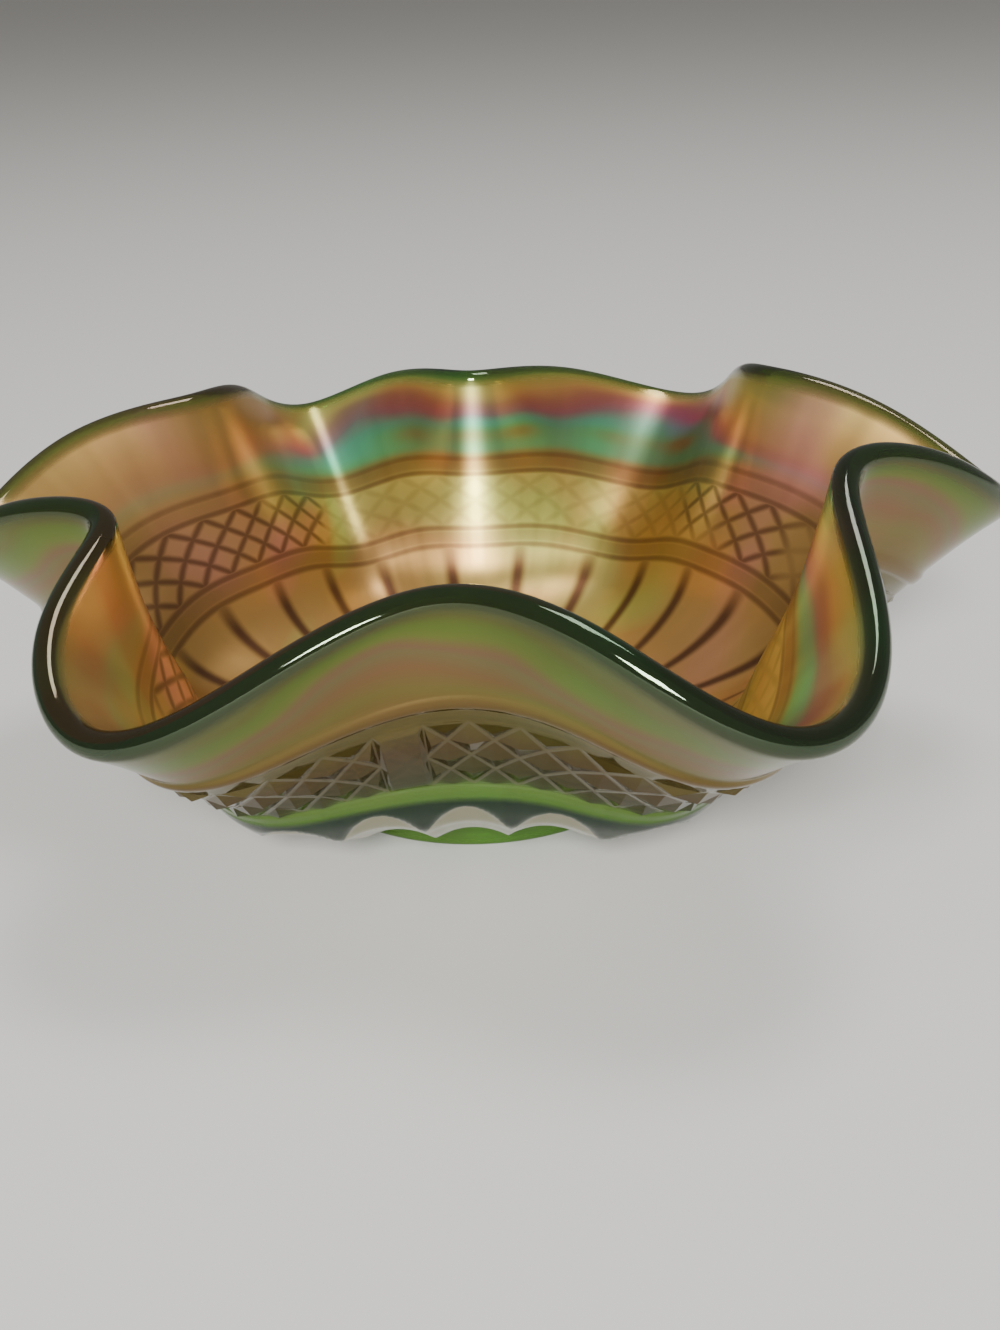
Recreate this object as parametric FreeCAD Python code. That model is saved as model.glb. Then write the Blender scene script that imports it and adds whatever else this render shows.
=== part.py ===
import FreeCAD, Part
import math
import os

# Ruffled carnival glass bowl, pressed in a mould and then crimped at the rim while hot. Millimetres.
# +Z is up, and the origin is the centre of the foot's underside.
# The bowl is one piece of glass. Each moulded zone is a closed solid of its own, and each zone meets
# the next one face to face on a shared ring.

# Collar foot and base
FOOT_R = 38.7
FOOT_IN_R = 33.0
FOOT_ROUND = 0.8
BASE_UNDER_Z = 3.0
WELL_R = 24.0
WELL_Z = 8.6

# Wall: the middle of the glass as pressed, before crimping, as mean radius and height
WALL = [(37.4, 7.3), (47.4, 10.2), (55.1, 13.7), (59.5, 16.5), (63.2, 20.0), (66.0, 24.0), (68.5, 28.1),
        (73.8, 34.9), (79.1, 41.8), (82.1, 46.3), (85.6, 51.6), (89.6, 57.4), (93.0, 62.0)]
HALF_WALL = 2.3
HALF_LIP = 2.6
START_R, RIM_R, RIM_Z = 37.4, 93.0, 62.0

# Mean radii where one zone ends and the next begins
FLUTE_END, RING_END, BAND_END, BEAD_END, FLANGE_END = 61.0, 68.5, 79.1, 82.7, 91.0

# Moulded ring over the flutes: how far the outside stands proud of the plain wall, by mean radius
PROUD = [(37.4, 0.0), (42.0, 0.2), (50.0, 0.3), (57.0, 0.4), (60.0, 0.75), (61.3, 1.2), (62.2, 1.45),
         (63.9, 1.35), (65.6, 1.25), (66.9, 0.9), (67.9, 0.3), (68.5, 0.0)]
FLUTES = 24
FLUTE_AT = -90.0
FLUTE_DEPTH = 1.7
FLUTE_RUN_OUT = 9.0
ARCH_TOP_R = 65.9
ARCH_FOOT_R = 61.8
ARCH_EDGE = 1.5

# Diamond lattice, cut by a plain post at each of the three mould joints
DIAMONDS = 54
DIAMOND_ROWS = 2
DIAMOND_H = 1.2
POSTS = 3
POST_AT = -98.333
POST_HALF = 2.8
POST_H = 0.85
BEAD_H = 0.7

# Crimped rim, six ruffles: angle, radius and height of each fold's top, hollow and flanks
RIM = [(-90, 79.5, 70.0), (-76, 93.0, 66.5), (-63, 108.0, 52.5), (-44, 96.5, 58.0), (-25, 78.0, 74.5),
       (-11, 94.0, 69.0), (3, 110.0, 54.0), (18, 95.0, 65.5), (34, 80.0, 71.5), (47, 92.5, 65.0),
       (60, 110.0, 52.0), (77, 95.5, 60.5), (93, 77.0, 64.5), (104, 94.5, 61.0), (115, 107.5, 52.0),
       (130, 90.0, 64.0), (146, 79.5, 69.0), (162, 96.0, 64.0), (179, 106.0, 52.5), (193, 91.5, 65.5),
       (207, 74.5, 68.0), (220, 92.0, 58.0), (232, 100.5, 47.0), (251, 87.0, 59.5)]
# The crimp dies away towards the foot, faster across than up
REACH_OUT, REACH_UP = 2.4, 1.6

# Rings of points, the first of them on a rib between two flutes
AROUND = 216
SECTORS = 12
FIRST = FLUTE_AT - 180.0 / FLUTES


def bend(nodes, column, turn):
    """Smooth curve through a column of nodes, as a function of the first column; turn closes it."""
    xs = [n[0] for n in nodes]
    vs = [n[column] for n in nodes]
    count = len(nodes)
    if turn:
        xs = xs + [xs[0] + turn]
        vs = vs + [vs[0]]
    gaps = [b - a for a, b in zip(xs, xs[1:])]
    rise = [(b - a) / g for a, b, g in zip(vs, vs[1:], gaps)]
    slope = [0.0] * len(xs)
    for _ in range(40):
        for i in range(count):
            if not turn and i in (0, count - 1):
                slope[i] = rise[0] if i == 0 else rise[-1]
                continue
            before, after = gaps[i - 1], gaps[i]
            pull = 3 * (after * rise[i - 1] + before * rise[i])
            down = slope[(i - 1) % count] * after + slope[(i + 1) % count] * before
            slope[i] = (pull - down) / (2 * (before + after))
        if turn:
            slope[-1] = slope[0]

    def value(x):
        if turn:
            x = (x - xs[0]) % turn + xs[0]
        i = 0
        while i < len(gaps) - 1 and xs[i + 1] <= x:
            i += 1
        u = (x - xs[i]) / gaps[i]
        a = (1 + 2 * u) * (1 - u) ** 2 * vs[i] + u * u * (3 - 2 * u) * vs[i + 1]
        return a + gaps[i] * (u * (1 - u) ** 2 * slope[i] - u * u * (1 - u) * slope[i + 1])

    return value


wall_z = bend(WALL, 1, 0)
proud = bend(PROUD, 1, 0)
rim_r = bend(RIM, 1, 360)
rim_z = bend(RIM, 2, 360)
ANGLE = [FIRST + k * 360.0 / AROUND for k in range(AROUND)]
TURN = [(rim_r(a) - RIM_R, rim_z(a) - RIM_Z) for a in ANGLE]


def middle(r, k):
    """Crimped position of the middle of the glass, for mean radius r at the k-th of AROUND places."""
    out, up = TURN[k % AROUND]
    t = (r - START_R) / (RIM_R - START_R)
    t = max(t, 0.0)
    radius = r + t ** REACH_OUT * out
    turn = math.radians(ANGLE[k % AROUND])
    return FreeCAD.Vector(radius * math.cos(turn), radius * math.sin(turn), wall_z(r) + t ** REACH_UP * up)


def outward(r, k):
    """Unit normal of the glass, pointing out of the bowl."""
    low = max(r - 0.2, START_R)
    high = min(r + 0.2, RIM_R)
    along = middle(high, k) - middle(low, k)
    around = middle(r, k + 1) - middle(r, k - 1)
    return around.cross(along).normalize()


def flute(r, angle):
    """Depth of the scooped flutes, which end in round arches under the ring."""
    across = 2 * (((angle - FLUTE_AT) * FLUTES / 360 + 0.5) % 1.0) - 1
    arch = ARCH_TOP_R - (ARCH_TOP_R - ARCH_FOOT_R) * across ** 2
    end = min(max((arch - r) / ARCH_EDGE, 0.0), 1.0)
    start = min(max((r - START_R) / FLUTE_RUN_OUT, 0.0), 1.0)
    return FLUTE_DEPTH * (1 - across ** 2) * end * start


def lattice(r, angle):
    """Height of the raised diamonds and of the plain posts between them."""
    side = (angle - POST_AT + 180.0 / POSTS) % (360.0 / POSTS) - 180.0 / POSTS
    if abs(side) < POST_HALF:
        return POST_H
    x = side * DIAMONDS / 360.0
    y = (r - RING_END) / (BAND_END - RING_END) * DIAMOND_ROWS
    return DIAMOND_H * abs(math.cos(math.pi * (x + y + 0.5)) * math.cos(math.pi * (x - y - 0.5)))


def relief(r, k):
    """Height of the moulded outside above the plain wall."""
    angle = ANGLE[k % AROUND]
    if r <= RING_END:
        return proud(r) - flute(r, angle)
    if r < BAND_END:
        return lattice(r, angle)
    if r < BEAD_END:
        return BEAD_H * math.sin(math.pi * (r - BAND_END) / (BEAD_END - BAND_END)) ** 2
    return 0.0


def half(r):
    """Half the thickness of the glass, a little more at the lip."""
    t = max(0.0, (r - BEAD_END) / (RIM_R - BEAD_END))
    return HALF_WALL + (HALF_LIP - HALF_WALL) * t


def ring(r, side, tilt=0.0):
    """One ring of points on the outside (side 1) or inside (side -1) of the glass at mean radius r."""
    points = []
    for k in range(AROUND):
        n = outward(r, k)
        offset = n * (side * half(r) * math.cos(tilt))
        if side > 0:
            offset += n * relief(r, k)
        if tilt:
            along = (middle(RIM_R, k) - middle(RIM_R - 0.4, k)).normalize()
            offset += along * (half(r) * math.sin(tilt))
        points.append(middle(r, k) + offset)
    return points


def skin(rings, degree):
    """Closed band of surface through rings of points, in one face for each sector."""
    poles = []
    for points in rings:
        row = []
        for k, p in enumerate(points):
            sag = points[k - 1] + points[(k + 1) % AROUND] - p * 2
            row.append(p - sag * (1.0 / 6))
        poles.append(row)
    columns = [[row[k] for row in poles] for k in range(AROUND)]
    spans = len(rings) - degree
    ends = [degree + 1] + [1] * (spans - 1) + [degree + 1]
    surface = Part.BSplineSurface()
    surface.buildFromPolesMultsKnots(columns, [1] * (AROUND + 1), ends, list(range(AROUND + 1)),
                                     list(range(spans + 1)), True, False, 3, degree)
    faces = []
    for part in range(SECTORS):
        patch = surface.copy()
        patch.segment(part * AROUND // SECTORS, (part + 1) * AROUND // SECTORS, 0, spans)
        faces.append(patch.toShape())
    return faces


def zone(name, low, high, rows, degree=3):
    """Part of the wall between two mean radii, closed by the faces it shares with its neighbours."""
    stations = [low + (high - low) * i / rows for i in range(rows + 1)]
    outside = [ring(r, 1) for r in stations]
    inside = [ring(r, -1) for r in stations]
    faces = skin(outside, degree) + skin(inside, 3)
    faces += skin([outside[0], inside[0]], 1)
    faces += skin([outside[-1], inside[-1]], 1)
    save(name, faces)


def lip(name, low):
    """Rounded, fire-polished edge: outside, over the top and down the inside in one surface."""
    outside = [ring(low, 1), ring((low + RIM_R) / 2, 1), ring(RIM_R, 1)]
    over = [ring(RIM_R, 1, math.radians(a)) for a in (22, 45, 68, 90)]
    back = [ring(RIM_R, -1, math.radians(a)) for a in (68, 45, 22)]
    inside = [ring(RIM_R, -1), ring((low + RIM_R) / 2, -1), ring(low, -1)]
    save(name, skin(outside + over + back + inside, 3) + skin([outside[0], inside[-1]], 1))


def save(name, faces):
    shell = Part.makeShell(faces)
    shell.sewShape()
    solid = Part.makeSolid(Part.Shell(shell.Faces))
    if solid.Volume < 0:
        solid.reverse()
    write(name, solid)


def write(name, solid):
    print(name, round(solid.Volume / 1000, 2), "cm3", "closed" if solid.isValid() else "NOT VALID")
    solid.exportStep("parts/" + name + ".step")


def turned(name, outline):
    """Solid of revolution of a closed outline of (radius, height) points."""
    points = [FreeCAD.Vector(r, 0, z) for r, z in outline]
    face = Part.Face(Part.makePolygon(points + points[:1]))
    write(name, face.revolve(FreeCAD.Vector(0, 0, 0), FreeCAD.Vector(0, 0, 1), 360))


os.makedirs("parts", exist_ok=True)

outer_foot = ring(START_R, 1)[0]
inner_foot = ring(START_R, -1)[0]
OUT_R = math.hypot(outer_foot.x, outer_foot.y)
IN_R = math.hypot(inner_foot.x, inner_foot.y)
print("wall starts outside at", OUT_R, outer_foot.z, "and inside at", IN_R, inner_foot.z)

turned("collar_foot", [(FOOT_IN_R, FOOT_ROUND), (FOOT_IN_R + FOOT_ROUND, 0), (FOOT_R - FOOT_ROUND, 0),
                       (FOOT_R, FOOT_ROUND), (OUT_R, outer_foot.z), (FOOT_IN_R, outer_foot.z)])
turned("well_floor", [(0, BASE_UNDER_Z), (FOOT_IN_R, BASE_UNDER_Z), (FOOT_IN_R, outer_foot.z),
                      (OUT_R, outer_foot.z), (IN_R, inner_foot.z), (WELL_R, WELL_Z), (0, WELL_Z)])
zone("fluted_wall", START_R, FLUTE_END, 14)
zone("scalloped_ring", FLUTE_END, RING_END, 14)
zone("diamond_band", RING_END, BAND_END, 4 * DIAMOND_ROWS, 2)
zone("bead_ring", BAND_END, BEAD_END, 6)
zone("plain_flange", BEAD_END, FLANGE_END, 6)
lip("rim_lip", FLANGE_END)
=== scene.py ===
# %% [markdown]
# # A ruffled carnival glass bowl
# Carnival glass is pressed glass with a thin metallic film. A gather of hot green glass is pressed
# in an iron mould, the rim is crimped into ruffles while it is soft, and metal salts are sprayed on
# so that the surface shines gold, rose and teal. This lesson builds the bowl in the same order.
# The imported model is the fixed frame: it gives the size, and the glass made here stands for it.

# %% Load the frame
import bpy
import bmesh
import math
from mathutils import Matrix, Vector


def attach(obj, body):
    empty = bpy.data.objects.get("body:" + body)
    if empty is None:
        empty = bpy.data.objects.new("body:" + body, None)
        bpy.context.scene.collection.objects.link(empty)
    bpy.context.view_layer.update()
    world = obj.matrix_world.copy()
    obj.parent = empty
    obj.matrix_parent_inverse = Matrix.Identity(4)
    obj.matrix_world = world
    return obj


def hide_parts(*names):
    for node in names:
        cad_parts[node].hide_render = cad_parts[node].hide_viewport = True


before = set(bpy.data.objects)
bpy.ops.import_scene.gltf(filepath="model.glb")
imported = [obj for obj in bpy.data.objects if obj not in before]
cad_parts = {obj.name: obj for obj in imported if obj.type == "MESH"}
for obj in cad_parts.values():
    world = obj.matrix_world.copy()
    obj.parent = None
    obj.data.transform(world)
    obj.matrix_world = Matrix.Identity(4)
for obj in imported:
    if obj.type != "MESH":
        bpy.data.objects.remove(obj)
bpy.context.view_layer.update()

# %% [markdown]
# ## The shape of the wall
# Two curves describe the glass. The first is the section of the wall as it leaves the mould: mean
# radius and height of the middle of the glass. The second is the crimped rim: for each fold's top,
# hollow and flank, its angle, radius and height. Both are smooth curves through their nodes, so one
# small helper draws them. Sculpting the ruffles would also work, but a formula keeps the foot
# perfectly round while the rim waves.

# %% Wall and rim curves, in millimetres
WALL = [(0, 5.8), (24, 5.8), (33, 6.35), (37.4, 7.3), (47.4, 10.2), (55.1, 13.7), (59.5, 16.5),
        (63.2, 20.0), (66.0, 24.0), (68.5, 28.1), (73.8, 34.9), (79.1, 41.8), (82.1, 46.3), (85.6, 51.6),
        (89.6, 57.4), (93.0, 62.0)]
RIM = [(-90, 79.5, 70.0), (-76, 93.0, 66.5), (-63, 108.0, 52.5), (-44, 96.5, 58.0), (-25, 78.0, 74.5),
       (-11, 94.0, 69.0), (3, 110.0, 54.0), (18, 95.0, 65.5), (34, 80.0, 71.5), (47, 92.5, 65.0),
       (60, 110.0, 52.0), (77, 95.5, 60.5), (93, 77.0, 64.5), (104, 94.5, 61.0), (115, 107.5, 52.0),
       (130, 90.0, 64.0), (146, 79.5, 69.0), (162, 96.0, 64.0), (179, 106.0, 52.5), (193, 91.5, 65.5),
       (207, 74.5, 68.0), (220, 92.0, 58.0), (232, 100.5, 47.0), (251, 87.0, 59.5)]
RIM_R, RIM_Z = 93.0, 62.0
START_R = 37.4
REACH_OUT, REACH_UP = 2.4, 1.6
SLOPE_ROUNDS = 40


def smooth_curve(nodes, column, turn=0):
    """A smooth curve through one column of the nodes; turn is the period of a closed curve."""
    xs = [n[0] for n in nodes]
    vs = [n[column] for n in nodes]
    count = len(nodes)
    if turn:
        xs, vs = xs + [xs[0] + turn], vs + [vs[0]]
    gaps = [b - a for a, b in zip(xs, xs[1:])]
    rise = [(b - a) / g for a, b, g in zip(vs, vs[1:], gaps)]
    slope = [0.0] * len(xs)
    for _ in range(SLOPE_ROUNDS):
        for i in range(count):
            if not turn and i in (0, count - 1):
                slope[i] = rise[0] if i == 0 else rise[-1]
                continue
            before, after = gaps[i - 1], gaps[i]
            pull = 3 * (after * rise[i - 1] + before * rise[i])
            down = slope[(i - 1) % count] * after + slope[(i + 1) % count] * before
            slope[i] = (pull - down) / (2 * (before + after))
        if turn:
            slope[-1] = slope[0]

    def value(x):
        if turn:
            x = (x - xs[0]) % turn + xs[0]
        i = 0
        while i < len(gaps) - 1 and xs[i + 1] <= x:
            i += 1
        u = (x - xs[i]) / gaps[i]
        a = (1 + 2 * u) * (1 - u) ** 2 * vs[i] + u * u * (3 - 2 * u) * vs[i + 1]
        return a + gaps[i] * (u * (1 - u) ** 2 * slope[i] - u * u * (1 - u) * slope[i + 1])

    return value


wall_height = smooth_curve(WALL, 1)
rim_radius = smooth_curve(RIM, 1, 360)
rim_height = smooth_curve(RIM, 2, 360)
print("rim at the front fold", round(rim_radius(-90), 1), round(rim_height(-90), 1))

# %% [markdown]
# ## From a flat strip to a bowl
# The relief of the mould is far easier to model flat. So the glass starts as a strip: x is the turn
# round the bowl in degrees, y is how far up the wall a point is, as mean radius, and z is how far it
# stands off the middle of the glass. `place` rolls a point of the strip up into the bowl and crimps
# it. The crimp fades away towards the foot, as it does in soft glass. A lattice or a curve modifier
# could bend the strip too, but one formula bends and ruffles it in a single exact step.

# %% Roll up and crimp
rim_at = {}


def middle(r, angle):
    """The middle of the glass at mean radius r, crimped."""
    key = round(angle % 360, 4)
    if key not in rim_at:
        rim_at[key] = rim_radius(key) - RIM_R, rim_height(key) - RIM_Z
    out, up = rim_at[key]
    t = max(0.0, (r - START_R) / (RIM_R - START_R))
    radius = r + out * t ** REACH_OUT
    turn = math.radians(angle)
    height = wall_height(r) + up * t ** REACH_UP
    return Vector((radius * math.cos(turn), radius * math.sin(turn), height))


def place(strip):
    """Where a point of the flat strip ends up on the bowl."""
    angle, y, off = strip
    r = min(y, RIM_R)
    if r < 1.0:
        return Vector((middle(r, angle).x, middle(r, angle).y, wall_height(r) - off))
    along = (middle(min(r + 0.2, RIM_R), angle) - middle(r - 0.2, angle)).normalized()
    around = middle(r, angle + 0.6) - middle(r, angle - 0.6)
    out = around.cross(along).normalized()
    return middle(r, angle) + out * off + along * (y - r)


print("front of the lip", place((-90, 93, 0)))

# %% [markdown]
# ## The diamond band
# The mould has a band of raised diamonds, two high and fifty-four round, cut by three plain posts
# where the mould's parts are taken to meet. The trick is a grid of squares: poke every square to get
# its centre, then dissolve the grid's own edges. What is left is the same grid turned by 45 degrees,
# which is the lattice. Each diamond is then inset, for the groove between diamonds, and poked to a
# point.
# The band is made at its true size, so that the groove is as wide one way as the other.

# %% Diamond band
DIAMONDS = 54
POST_AT = -98.333
RING_TOP, BAND_TOP = 68.5, 79.1
HALF_WALL, HALF_LIP, LIP_REACH = 2.3, 2.6, 2.45
DIAMOND_WIDE, BAND_TALL = 8.9, 15.6
DIAMOND_HEIGHT = 1.1
GROOVE = 0.42
POSTS = 3
POST_HEIGHT, POST_SLOPE = 0.55, 0.9
START = POST_AT - 180.0 / DIAMONDS

glass = bmesh.new()
bmesh.ops.create_grid(glass, x_segments=DIAMONDS, y_segments=2, size=0.5)
bmesh.ops.translate(glass, vec=(0.5, 0.5, 0), verts=glass.verts)
bmesh.ops.scale(glass, vec=(DIAMONDS * DIAMOND_WIDE, BAND_TALL, 1), verts=glass.verts)


def post_faces():
    """The faces of the three columns where a plain post stands."""
    columns = [(f, int(f.calc_center_median().x // DIAMOND_WIDE)) for f in glass.faces]
    return [f for f, column in columns if column % (DIAMONDS // POSTS) == 0]


posts = post_faces()
squares = [f for f in glass.faces if f not in posts]
between = [e for e in glass.edges if len([f for f in e.link_faces if f not in posts]) == 2]
bmesh.ops.poke(glass, faces=squares)
bmesh.ops.dissolve_edges(glass, edges=between, use_verts=False)
inner_edges = [e for e in glass.edges if len(e.link_faces) == 2]
split_posts = [e for e in inner_edges if all(f in posts for f in e.link_faces)]
bmesh.ops.dissolve_edges(glass, edges=split_posts, use_verts=False)
posts = post_faces()
diamonds = [f for f in glass.faces if f not in posts]
bmesh.ops.inset_individual(glass, faces=diamonds, thickness=GROOVE, use_even_offset=True)
tips = bmesh.ops.poke(glass, faces=diamonds)["verts"]
bmesh.ops.translate(glass, vec=(0, 0, DIAMOND_HEIGHT), verts=tips)
bmesh.ops.inset_individual(glass, faces=posts, thickness=POST_SLOPE, depth=POST_HEIGHT,
                           use_even_offset=True)
print("diamonds and half diamonds", len(diamonds), "posts", len(posts))

# %% [markdown]
# ## The rest of the strip
# Every other part of the bowl has the same section all the way round, so its outline is a list of
# steps (mean radius, height off the middle), and an edge extruded once per step sweeps it out. One
# list climbs from the diamonds over the bead and the flange, over the rounded lip and down the
# inside to the middle of the floor. The other goes from the diamonds down over the shelf, the ring
# and the flutes to the collar foot, and under it to the middle again.

# %% Outlines above and below the band
ring_out = smooth_curve([(37.4, 2.3), (42.0, 2.5), (50.0, 2.6), (57.0, 2.7), (60.0, 3.05), (61.3, 3.5),
                         (62.2, 3.75), (63.9, 3.65), (65.6, 3.55), (66.9, 3.2)], 1)


def half_thickness(y):
    """Half the glass: thicker in the floor and towards the lip."""
    floor = min(1.0, max(0.0, (START_R - y) / (START_R - 24.0)))
    lip = max(0.0, (y - 82.7) / (RIM_R - 82.7))
    return HALF_WALL + 0.5 * floor + (HALF_LIP - HALF_WALL) * lip


BEAD = [(80.5, 2.3), (80.75, 2.42), (80.95, 2.75), (81.2, 2.95), (81.6, 3.0), (82.0, 2.97), (82.3, 2.82),
        (82.5, 2.52), (82.75, 2.35), (83.2, 2.3)]
flange_steps = [84.4, 85.6, 86.8, 88.0, 89.2, 90.3, 91.3, 92.2, 93.0]
inside_steps = flange_steps[-2::-1] + [83.2, 82.0, 80.8]
inside_steps += [79.4 - 1.4 * i for i in range(14)]
inside_steps += [59.6, 57.8, 55.8, 53.6, 51.2, 48.6, 46.0, 43.2, 40.4, 37.4, 34.0, 30.0, 26.0, 22.0,
                 16.0, 8.0, 0.0]
above = BEAD + [(y, half_thickness(y)) for y in flange_steps]
above += [(RIM_R + LIP_REACH * math.sin(math.radians(a)), HALF_LIP * math.cos(math.radians(a)))
          for a in range(15, 180, 15)]
above += [(93.0, -HALF_LIP)] + [(y, -half_thickness(y)) for y in inside_steps]

SHELF = [(68.35, 2.35), (68.25, 2.6), (68.1, 2.72), (67.7, 2.82), (67.35, 2.92), (67.15, 3.0),
         (67.02, 3.12)]
ring_steps = [66.9 - 0.35 * i for i in range(27)] + [57.0 - 1.1 * i for i in range(17)]
COLLAR = [(38.3, 2.45), (37.9, 2.6), (37.5, 3.0), (37.3, 3.7), (37.2, 4.6), (37.1, 5.6), (37.0, 6.3),
          (36.8, 6.8), (36.5, 7.1), (36.1, 7.3), (34.6, 7.3), (33.7, 6.9), (33.3, 6.4), (33.1, 5.6),
          (33.0, 4.2), (32.9, 3.3), (32.4, 2.9), (31.0, 2.8), (24.0, 2.8), (12.0, 2.8), (0.0, 2.8)]
below = SHELF + [(y, ring_out(y)) for y in ring_steps] + COLLAR


def sweep_out(edges, outline):
    """Extrudes a row of edges once for each step; returns every edge that runs round the bowl."""
    rows = list(edges)
    for y, off in outline:
        grown = bmesh.ops.extrude_edge_only(glass, edges=edges)["geom"]
        for v in [g for g in grown if isinstance(g, bmesh.types.BMVert)]:
            v.co.y, v.co.z = y, off
        new_edges = [g for g in grown if isinstance(g, bmesh.types.BMEdge)]
        edges = [e for e in new_edges if abs(e.verts[0].co.y - e.verts[1].co.y) < 1e-6]
        rows += edges
    return rows


to_degrees = 360.0 / (DIAMONDS * DIAMOND_WIDE)
to_radii = (BAND_TOP - RING_TOP) / BAND_TALL
bmesh.ops.scale(glass, vec=(to_degrees, to_radii, 1), verts=glass.verts)
bmesh.ops.translate(glass, vec=(START, RING_TOP, HALF_WALL), verts=glass.verts)
borders = [e for e in glass.edges if e.is_boundary]
top_edges = [e for e in borders if all(abs(v.co.y - BAND_TOP) < 1e-4 for v in e.verts)]
low_edges = [e for e in borders if all(abs(v.co.y - RING_TOP) < 1e-4 for v in e.verts)]
faceted = len(glass.faces)
round_edges = sweep_out(top_edges, above) + sweep_out(low_edges, below)
for i, f in enumerate(glass.faces):
    f.smooth = i >= faceted
bmesh.ops.subdivide_edges(glass, edges=round_edges, cuts=7, use_grid_fill=True)
print("strip", len(glass.verts), "points")

# %% [markdown]
# ## Flutes and arches
# Under the ring, a thumb-shaped tool has scooped twenty-four flutes into the glass. Each ends in a
# round arch, and the glass left between two flutes is a sharp rib. A boolean with twenty-four
# rounded cutters would do it, but pushing the points in by a formula keeps one clean mesh.

# %% Scoop the flutes
FLUTES = 24
FLUTE_DEPTH = 1.7
FLUTE_START, FLUTE_RUN_OUT = 38.5, 9.0
ARCH_TOP, ARCH_FOOT, ARCH_EDGE = 65.9, 61.8, 1.3


def scoop(angle, y):
    """How deep the flute is at a point of the outside."""
    phase = (angle + 90.0) * FLUTES / 360 + 0.5
    across = 2 * (phase - math.floor(phase)) - 1
    arch = ARCH_TOP - (ARCH_TOP - ARCH_FOOT) * across ** 2
    end = min(max((arch - y) / ARCH_EDGE, 0.0), 1.0)
    start = min(max((y - FLUTE_START) / FLUTE_RUN_OUT, 0.0), 1.0)
    return FLUTE_DEPTH * (1 - across ** 2) * math.sin(end * math.pi / 2) * start


for v in glass.verts:
    if v.co.z > 0 and FLUTE_START < v.co.y < ARCH_TOP:
        v.co.z -= scoop(v.co.x, v.co.y)
print("deepest scoop", round(scoop(-90.0, 55.0), 2), "mm in", FLUTES, "flutes")

# %% [markdown]
# ## A map on the glass
# The film changes colour from the foot to the lip, and differs inside and out. While the glass is
# still a flat strip, its position is the perfect map: U is the turn, and V climbs the outside to 0.5
# at the lip and goes on down the inside to 1. The materials read this map later.

# %% Map the strip
map_layer = glass.loops.layers.uv.new("skin")
for face in glass.faces:
    outside = face.calc_center_median().z > 0
    for loop in face.loops:
        climb = loop.vert.co.y / (RIM_R + LIP_REACH) / 2
        loop[map_layer].uv = ((loop.vert.co.x - START) / 360.0, climb if outside else 1 - climb)
print("mapped", len(glass.faces), "faces")

# %% [markdown]
# ## Roll up, weld and grind
# Every point goes to its place on the bowl. The two ends of the strip meet and are welded, and so
# are the points that all fell on the centre. The foot is then ground flat: nothing is below zero.

# %% Finish the glass body
for v in glass.verts:
    v.co = place(tuple(v.co))
    v.co.z = max(v.co.z, 0.0)
bmesh.ops.scale(glass, vec=(0.001, 0.001, 0.001), verts=glass.verts)
bmesh.ops.remove_doubles(glass, verts=glass.verts, dist=2e-6)
bmesh.ops.dissolve_degenerate(glass, edges=glass.edges, dist=1e-6)
bmesh.ops.recalc_face_normals(glass, faces=glass.faces)
open_edges = [e for e in glass.edges if len(e.link_faces) != 2]
volume = round(glass.calc_volume() * 1e6, 1)
print("open edges", len(open_edges), "volume cm3", volume, "faces", len(glass.faces))
body_mesh = bpy.data.meshes.new("bowl_glass")
glass.to_mesh(body_mesh)
glass.free()
bowl = bpy.data.objects.new("bowl_glass", body_mesh)
bpy.context.scene.collection.objects.link(bowl)
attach(bowl, "root")
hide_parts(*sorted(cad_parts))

# %% [markdown]
# ## Green glass with a metal film
# The glass is green all the way through, so its colour is an absorption volume inside the closed
# mesh: thin walls come out light green, and the thick lip comes out nearly black. The film is a
# skin that shines like metal but lets some light through. One shader does both: its base colour is
# the film's colour, and its metallic value is how much film there is. Two colour ramps on V paint
# them from the foot to the lip and down the inside. The lip and the foot carry almost no film, so
# they look like bare glass. The base colour also holds painted light and shade: the foot and the
# shelf are painted a brighter green for light shining through the glass, and the diamond band is
# darkened as painted shade.

# %% Node helpers: places on the map
SKIN_LENGTH = 2 * (RIM_R + LIP_REACH)


def outside_v(y):
    """V of a mean radius on the outside."""
    return y / SKIN_LENGTH


def inside_v(y):
    """V of a mean radius on the inside."""
    return 1 - y / SKIN_LENGTH


print("V at the collar foot", round(outside_v(START_R), 3), "and inside it", round(inside_v(START_R), 3))

# %% [markdown]
# ## Small tools for the shader
# A shader is a chain of small sums. These helpers each add one node or a few, so that the shader
# itself reads as a recipe. The same chain could be wired by hand in the node editor.

# %% Node helpers: sums, mixes and masks
def add_node(tree, kind, **values):
    """A node with its inputs set, each from a value or from another node's output."""
    node = tree.nodes.new(kind)
    for name, value in values.items():
        if hasattr(node, name):
            setattr(node, name, value)
            continue
        key = int(name[1:]) if name[0] == "i" and name[1:].isdigit() else name.replace("_", " ")
        if isinstance(value, bpy.types.NodeSocket):
            tree.links.new(value, node.inputs[key])
        else:
            node.inputs[key].default_value = value
    return node


def maths(tree, operation, first, second=0.0, third=0.0):
    return add_node(tree, "ShaderNodeMath", operation=operation, i0=first, i1=second, i2=third).outputs[0]


def blend(tree, kind, amount, base, over):
    """Mixes a colour over another."""
    mix = add_node(tree, "ShaderNodeMix", data_type="RGBA", blend_type=kind)
    for socket, value in ((mix.inputs[0], amount), (mix.inputs[6], base), (mix.inputs[7], over)):
        if isinstance(value, bpy.types.NodeSocket):
            tree.links.new(value, socket)
        else:
            socket.default_value = value
    return mix.outputs[2]


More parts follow.
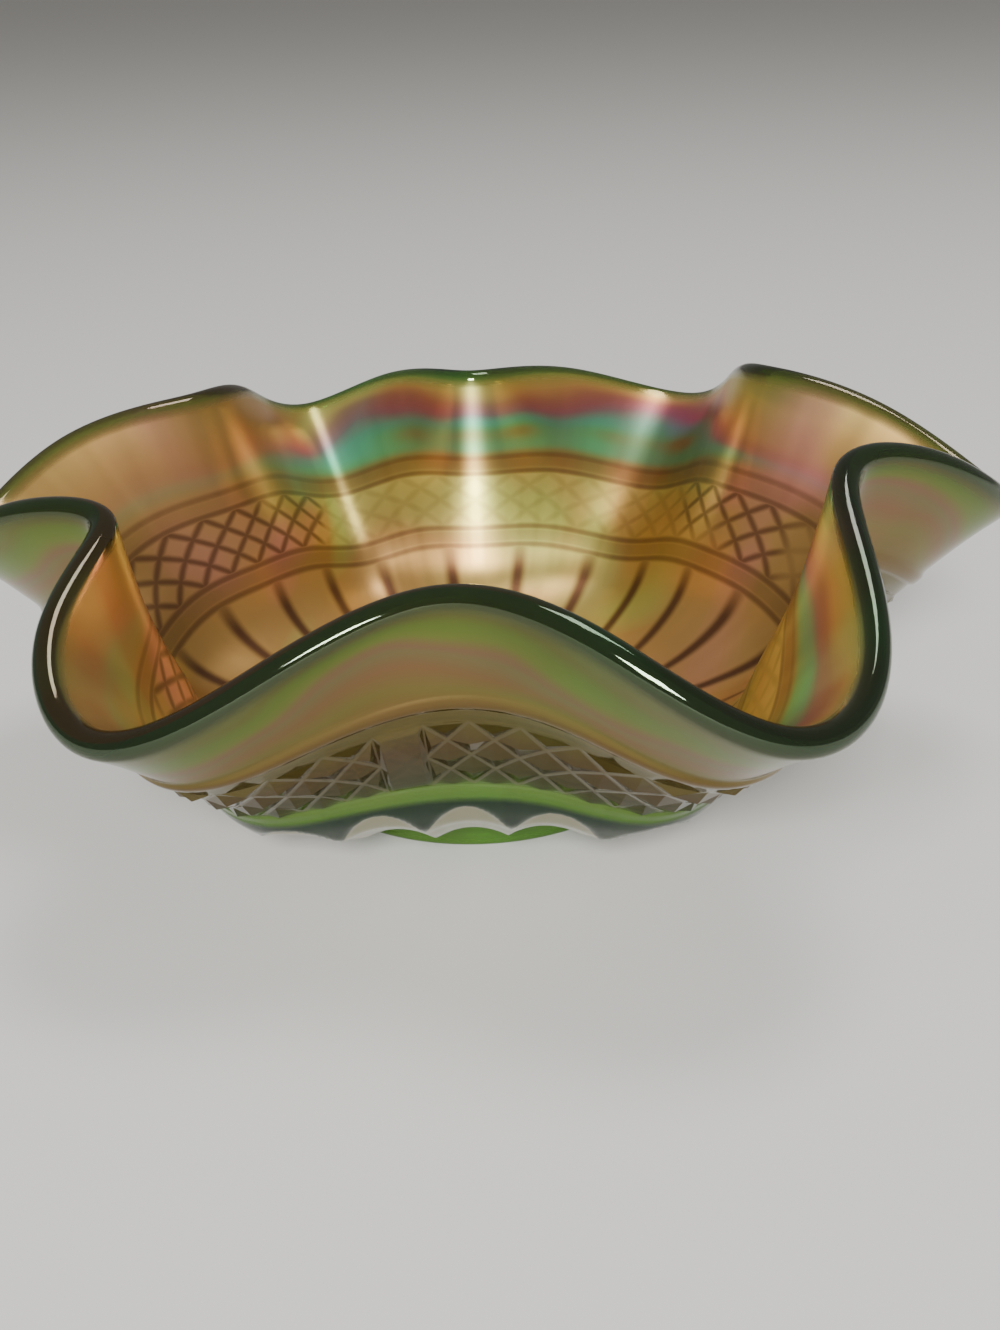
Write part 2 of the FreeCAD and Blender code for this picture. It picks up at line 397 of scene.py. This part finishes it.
def ramp(tree, factor, stops):
    """A colour ramp. A stop is its place with red, green and blue up to 255, or with a grey up to 1."""
    node = add_node(tree, "ShaderNodeValToRGB", Fac=factor)
    for spot, _ in stops[2:]:
        node.color_ramp.elements.new(spot)
    for element, (spot, colour) in zip(node.color_ramp.elements, sorted(stops)):
        element.position = spot
        if isinstance(colour, tuple):
            element.color = [(c / 255.0) ** 2.2 for c in colour] + [1]
        else:
            element.color = (colour, colour, colour, 1)
    return node.outputs[0]


def soft_step(tree, value, low, high):
    """0 below low, 1 above high, smooth between."""
    node = add_node(tree, "ShaderNodeMapRange", interpolation_type="SMOOTHSTEP")
    tree.links.new(value, node.inputs[0])
    node.inputs[1].default_value, node.inputs[2].default_value = low, high
    return node.outputs[0]


def strip_between(tree, value, low, high, edge):
    """1 between low and high, fading to 0 over the edge's width."""
    rise = soft_step(tree, value, low - edge, low + edge)
    fall = soft_step(tree, value, high - edge, high + edge)
    return maths(tree, "SUBTRACT", rise, fall)


print("helpers for sums, mixes, ramps and masks are ready")

# %% [markdown]
# ## Where the film goes
# The film's colour, how much of it there is, and how clear the glass is are three lists of stops
# along the skin, from the foot out to the lip and back down the inside. The colours were picked one
# by one. A film's true colour comes from its thickness, and a thin-film setting would work that out,
# but painted stops can be placed band by band.

# %% Film colours, amount and clearness
FILM_COLOURS_AND_PAINTED_LIGHT = [
    # Painted light: the foot (up to radius 41) and the shelf (67.1 to 68.4) are a brighter green than the
    # glass itself, standing for light shining through it
    (outside_v(0), (96, 146, 44)), (outside_v(41), (96, 146, 44)), (outside_v(44), (20, 74, 36)),
    (outside_v(66.7), (20, 74, 36)), (outside_v(67.1), (104, 150, 50)), (outside_v(68.4), (120, 158, 60)),
    # Painted shade: the diamond band's olive and brown film (69.5 to 76) is darkened for dark surroundings
    # seen through the glass
    (outside_v(69.5), (84, 88, 36)), (outside_v(76), (112, 86, 40)), (outside_v(80.3), (130, 118, 50)),
    (outside_v(81.6), (140, 106, 54)), (outside_v(83.5), (138, 126, 66)), (outside_v(85.8), (148, 114, 76)),
    (outside_v(87.4), (138, 128, 84)), (outside_v(88.2), (152, 112, 86)), (outside_v(89.2), (130, 142, 66)),
    (outside_v(91.2), (116, 140, 58)), (outside_v(92.6), (124, 124, 62)), (0.5, (128, 176, 104)),
    (inside_v(92.4), (226, 210, 124)), (inside_v(89.2), (230, 192, 120)), (inside_v(87), (206, 136, 120)),
    (inside_v(85.2), (196, 122, 138)), (inside_v(83.2), (124, 190, 166)), (inside_v(82), (144, 180, 130)),
    (inside_v(81), (190, 134, 80)), (inside_v(79), (196, 142, 84)), (inside_v(77.6), (222, 194, 110)),
    (inside_v(70), (214, 182, 98)), (inside_v(62), (216, 184, 104)), (inside_v(50), (220, 184, 122)),
    (inside_v(38), (222, 194, 110)), (1.0, (210, 180, 102))]
FILM_AMOUNT = [
    (outside_v(0), 0.0), (outside_v(66.9), 0.04), (outside_v(68.4), 0.06), (outside_v(70.5), 0.18),
    (outside_v(80), 0.32), (outside_v(84), 0.62), (outside_v(92), 0.55), (outside_v(93.4), 0.14), (0.5, 0.08),
    (inside_v(93), 0.12), (inside_v(91.8), 0.68), (inside_v(70), 0.68), (1.0, 0.68)]
CLEARNESS = [
    (outside_v(0), 0.6), (outside_v(42), 0.6), (outside_v(45), 0.85), (outside_v(66.7), 0.85),
    (outside_v(67.3), 0.6), (outside_v(69.5), 0.8), (outside_v(80), 0.85), (outside_v(84), 0.75),
    (outside_v(90.5), 0.8), (outside_v(93), 0.98), (0.5, 0.98), (inside_v(93), 0.98),
    (inside_v(91.4), 0.6), (inside_v(70), 0.5), (1.0, 0.5)]
FLUTE_COLOUR, FLUTE_FILM = (0.50, 0.48, 0.34, 1), 0.62
GOLD = (0.68, 0.49, 0.17, 1)
# Between these mean radii the film's thickness drifts
DRIFT_LOW, DRIFT_HIGH = 83.5, 92
print("stops", len(FILM_COLOURS_AND_PAINTED_LIGHT), "colours", len(FILM_AMOUNT), "amounts", len(CLEARNESS), "clearness")

# %% [markdown]
# ## The relief seen from inside
# Looking into the bowl, the outside's lattice, ribs and rings show dark through the wall. The glass
# here refracts its own relief only faintly, so the dark lines are painted on the inside as masks on
# the map. They are a painted stand-in and don't lie exactly over the relief.

# %% Painted relief and flute masks
# The dark lattice inside is painted a little lower and less tall than the relief outside
SEEN_LOW, SEEN_HIGH = 69.2, 77.9
SHOWN_BROWN = (0.13, 0.05, 0.022, 1)
# Rings round the inside: lower radius, upper radius, strength
SHOWN_RINGS = [(66.1, 66.9, 0.85), (66.9, 68.5, 0.5), (68.5, 69.3, 0.85), (77.8, 78.6, 0.8),
               (78.6, 80.2, 0.25), (80.2, 81.0, 0.6)]
# Turns of the map to flutes, so that a whole number is a rib
RIB_SHIFT = (START + 90.0) * FLUTES / 360 + 0.5


def lattice_lines(tree, across, height, low, high, thin, wide):
    """Crossing lines two diamonds high between two mean radii; thin and wide bound their soft edge."""
    rows = 2.0 * SKIN_LENGTH / (high - low)
    up = maths(tree, "MULTIPLY", maths(tree, "SUBTRACT", height, outside_v(low)), rows)
    one_way = maths(tree, "PINGPONG", maths(tree, "ADD", across, up), 0.5)
    other_way = maths(tree, "PINGPONG", maths(tree, "SUBTRACT", across, up), 0.5)
    near = soft_step(tree, maths(tree, "MINIMUM", one_way, other_way), thin, wide)
    band = strip_between(tree, height, outside_v(low), outside_v(high), 0.0012)
    return maths(tree, "MULTIPLY", maths(tree, "SUBTRACT", 1.0, near), band)


def relief_from_inside(tree, turn, across, height, fade):
    """Dark lines on the inside that stand for the outside's ring, ribs, lattice and bead."""
    lattice = lattice_lines(tree, across, height, SEEN_LOW, SEEN_HIGH, 0.02, 0.24)
    lattice = maths(tree, "MULTIPLY", lattice, fade)
    rib_turn = maths(tree, "MULTIPLY_ADD", turn, float(FLUTES), RIB_SHIFT)
    from_rib = maths(tree, "PINGPONG", rib_turn, 0.5)
    rib = maths(tree, "SUBTRACT", 1.0, soft_step(tree, from_rib, 0.02, 0.17))
    rib = maths(tree, "MULTIPLY", rib, strip_between(tree, height, outside_v(40), outside_v(66), 0.022))
    rib = maths(tree, "MULTIPLY", rib, 1.2)
    shown = maths(tree, "MAXIMUM", lattice, rib)
    for low, high, strength in SHOWN_RINGS:
        stripe = strip_between(tree, height, outside_v(low), outside_v(high), 0.0016)
        shown = maths(tree, "MAXIMUM", shown, maths(tree, "MULTIPLY", stripe, strength))
    return shown


def in_flute(tree, turn, height):
    """1 under the arches that the flutes end in."""
    phase = maths(tree, "FRACT", maths(tree, "MULTIPLY_ADD", turn, float(FLUTES), RIB_SHIFT))
    across = maths(tree, "MULTIPLY_ADD", phase, 2.0, -1.0)
    squared = maths(tree, "MULTIPLY", across, across)
    drop = maths(tree, "MULTIPLY", squared, outside_v(ARCH_TOP - ARCH_FOOT))
    under = maths(tree, "SUBTRACT", maths(tree, "SUBTRACT", outside_v(ARCH_TOP), drop), height)
    low = soft_step(tree, height, outside_v(41), outside_v(46))
    return maths(tree, "MULTIPLY", soft_step(tree, under, 0.0, 0.003), low)


print("rings painted inside", len(SHOWN_RINGS))

# %% [markdown]
# ## The shader, in three layers
# First the film's colour, which drifts and clouds as a sprayed film does. Then the relief: dark
# lines inside, light grooves between the diamonds and a pale skin in the flutes. Last the surface:
# how metallic, how clear and how satin it is. One shader on one closed skin is simpler than a
# separate coat, and the green body stays closed, which an absorbing volume needs.

# %% Film colour and relief on the glass
def film_colour_and_painted_light(tree, climb, height, inside, drift, clouds, on_bowl):
    """The film's colour, with painted light on the foot and shelf and painted shade on the diamond band:
    stops along the skin that wander, with gold patches and cloudy tints.
    """
    on_flange = strip_between(tree, height, outside_v(DRIFT_LOW), outside_v(DRIFT_HIGH), 0.01)
    reach = maths(tree, "MULTIPLY", on_flange, 0.11)
    wander = maths(tree, "MULTIPLY", maths(tree, "SUBTRACT", drift, 0.5), reach)
    colour = ramp(tree, maths(tree, "ADD", climb, wander), FILM_COLOURS_AND_PAINTED_LIGHT)
    tints = ramp(tree, clouds, [(0.3, (206, 120, 204)), (0.44, (134, 130, 118)), (0.57, (132, 132, 112)),
                                (0.7, (104, 196, 164))])
    noise = add_node(tree, "ShaderNodeTexNoise", Vector=on_bowl, Scale=9.0, Detail=0.0)
    plain = maths(tree, "MULTIPLY_ADD", soft_step(tree, noise.outputs["Fac"], 0.42, 0.55), -0.8, 0.8)
    plain = maths(tree, "MULTIPLY", plain, inside)
    colour = blend(tree, "MIX", plain, colour, GOLD)
    tinted = maths(tree, "MULTIPLY_ADD", inside, 0.5, 0.15)
    return blend(tree, "OVERLAY", tinted, colour, tints)


def relief_colour(tree, colour, turn, height, inside, clouds, flute):
    """Dark lines inside, light grooves between the diamonds, and a pale skin in the flutes."""
    across = maths(tree, "MULTIPLY", turn, float(DIAMONDS))
    outside = maths(tree, "SUBTRACT", 1.0, inside)
    fade = maths(tree, "MULTIPLY_ADD", soft_step(tree, clouds, 0.43, 0.56), -0.7, 0.95)
    shown = maths(tree, "MULTIPLY", relief_from_inside(tree, turn, across, height, fade), inside)
    colour = blend(tree, "MIX", maths(tree, "MULTIPLY", shown, 0.8), colour, SHOWN_BROWN)
    third = maths(tree, "FRACT", maths(tree, "MULTIPLY", turn, float(POSTS)))
    no_post = maths(tree, "GREATER_THAN", third, POSTS / DIAMONDS)
    grooves = lattice_lines(tree, across, height, RING_TOP, BAND_TOP, 0.02, 0.08)
    grooves = maths(tree, "MULTIPLY", maths(tree, "MULTIPLY", grooves, no_post), outside)
    colour = blend(tree, "MIX", maths(tree, "MULTIPLY", grooves, 0.4), colour, (0.34, 0.29, 0.14, 1))
    return blend(tree, "MIX", flute, colour, FLUTE_COLOUR)


print("film drifts on the flange between radii", DRIFT_LOW, "and", DRIFT_HIGH)

# %% [markdown]
# ## The surface and the body
# A film that shines is metallic, and clear glass is transmissive, so the two lists of stops feed
# those inputs. Where there is more film the surface is more satin, with fine streaks from the foot
# to the lip. The colour of the body is an absorption, so it deepens with the length of glass that
# the light crosses.

# %% The whole material
def iridised_glass():
    """Green glass whose skin carries the film, with the mould's relief painted on the inside."""
    material = bpy.data.materials.new("iridised_glass")
    material.use_nodes = True
    tree = material.node_tree
    shader = tree.nodes["Principled BSDF"]
    skin = add_node(tree, "ShaderNodeUVMap", uv_map="skin").outputs[0]
    parts = add_node(tree, "ShaderNodeSeparateXYZ", Vector=skin)
    turn, climb = parts.outputs[0], parts.outputs[1]
    on_bowl = add_node(tree, "ShaderNodeTexCoord").outputs["Object"]
    height = maths(tree, "PINGPONG", climb, 0.5)
    inside = maths(tree, "GREATER_THAN", climb, 0.5)
    drift = add_node(tree, "ShaderNodeTexNoise", Vector=on_bowl, Scale=17.0, Detail=2.0).outputs["Fac"]
    cloud_noise = add_node(tree, "ShaderNodeTexNoise", Vector=on_bowl, Scale=19.0, Detail=1.5, Distortion=0.8)
    clouds = cloud_noise.outputs["Fac"]

    flute = maths(tree, "MULTIPLY", in_flute(tree, turn, height), maths(tree, "SUBTRACT", 1.0, inside))
    colour = film_colour_and_painted_light(tree, climb, height, inside, drift, clouds, on_bowl)
    colour = relief_colour(tree, colour, turn, height, inside, clouds, flute)
    tree.links.new(colour, shader.inputs["Base Color"])

    film = ramp(tree, climb, FILM_AMOUNT)
    film = maths(tree, "MULTIPLY", film, maths(tree, "MULTIPLY_ADD", drift, 0.5, 0.78))
    film = maths(tree, "MAXIMUM", film, maths(tree, "MULTIPLY", flute, FLUTE_FILM))
    tree.links.new(film, shader.inputs["Metallic"])
    tree.links.new(ramp(tree, climb, CLEARNESS), shader.inputs["Transmission Weight"])

    streaks = add_node(tree, "ShaderNodeMapping", Vector=skin, Scale=(130.0, 5.0, 1.0)).outputs[0]
    streak = add_node(tree, "ShaderNodeTexNoise", Vector=streaks, Scale=1.0, Detail=1.0).outputs["Fac"]
    satin = maths(tree, "MULTIPLY_ADD", streak, 0.2, maths(tree, "MULTIPLY_ADD", inside, 0.28, 0.08))
    satin = maths(tree, "MULTIPLY", film, satin)
    tree.links.new(maths(tree, "ADD", satin, 0.03), shader.inputs["Roughness"])
    shader.inputs["IOR"].default_value = 1.52
    wave = add_node(tree, "ShaderNodeTexNoise", Vector=on_bowl, Scale=55.0, Detail=1.0).outputs["Fac"]
    bump = add_node(tree, "ShaderNodeBump", Strength=0.25, Distance=0.0006, Height=wave)
    tree.links.new(bump.outputs[0], shader.inputs["Normal"])

    body = add_node(tree, "ShaderNodeVolumeAbsorption", Color=(0.10, 0.5, 0.13, 1), Density=185.0)
    tree.links.new(body.outputs[0], tree.nodes["Material Output"].inputs["Volume"])
    return material


body_mesh.materials.append(iridised_glass())
print("glass nodes", len(body_mesh.materials[0].node_tree.nodes))

# %% [markdown]
# ## Table and sky
# A pale matt floor that runs far back, and an even, slightly warm grey all round. Glass shows
# whatever stands about it, so a plain room keeps the film's own colours readable. A curved backdrop
# would do as well.

# %% Table and sky
floor_mesh = bmesh.new()
bmesh.ops.create_grid(floor_mesh, x_segments=1, y_segments=1, size=12.0)
plane = bpy.data.meshes.new("table")
floor_mesh.to_mesh(plane)
floor_mesh.free()
table = bpy.data.objects.new("table", plane)
bpy.context.scene.collection.objects.link(table)
pale = bpy.data.materials.new("pale_table")
pale.use_nodes = True
pale.node_tree.nodes["Principled BSDF"].inputs["Base Color"].default_value = (0.72, 0.71, 0.68, 1)
pale.node_tree.nodes["Principled BSDF"].inputs["Roughness"].default_value = 0.9
plane.materials.append(pale)

world = bpy.data.worlds.new("studio")
world.use_nodes = True
world.node_tree.nodes["Background"].inputs["Color"].default_value = (0.60, 0.585, 0.56, 1)
world.node_tree.nodes["Background"].inputs["Strength"].default_value = 0.42
bpy.context.scene.world = world
print("table", table.name, "sky", world.name)

# %% [markdown]
# ## Lights and camera
# A soft light in front draws the highlights on the lip and the film, and a smaller one above fills
# the bowl. The camera looks down into it at about 25 degrees.

# %% Lights and camera
def soft_light(name, size, power, at, toward):
    """A square soft light at a place, turned to face a point."""
    lamp = bpy.data.lights.new(name, "AREA")
    lamp.size = size
    lamp.energy = power
    holder = bpy.data.objects.new(name, lamp)
    holder.location = at
    holder.rotation_euler = (Vector(toward) - Vector(at)).to_track_quat("-Z", "Y").to_euler()
    bpy.context.scene.collection.objects.link(holder)
    return holder


soft_light("key", 0.65, 92.0, (-0.1, -2.05, 1.2), (0, 0, 0.03))
soft_light("fill", 0.45, 5.0, (0.25, 0.15, 1.2), (0, 0, 0.03))

camera_data = bpy.data.cameras.new("camera")
camera_data.lens = 42.4
camera_data.sensor_width = 36.0
camera = bpy.data.objects.new("camera", camera_data)
aim = Matrix.Rotation(math.radians(1.93), 4, "Z") @ Matrix.Rotation(math.radians(90 - 24.77), 4, "X")
aim = aim @ Matrix.Rotation(math.radians(-2.27), 4, "Z")
camera.matrix_world = Matrix.Translation((0.0151, -0.3061, 0.1631)) @ aim
bpy.context.scene.collection.objects.link(camera)
bpy.context.scene.camera = camera
print("camera", tuple(round(v, 4) for v in camera.location), "lens", camera_data.lens)
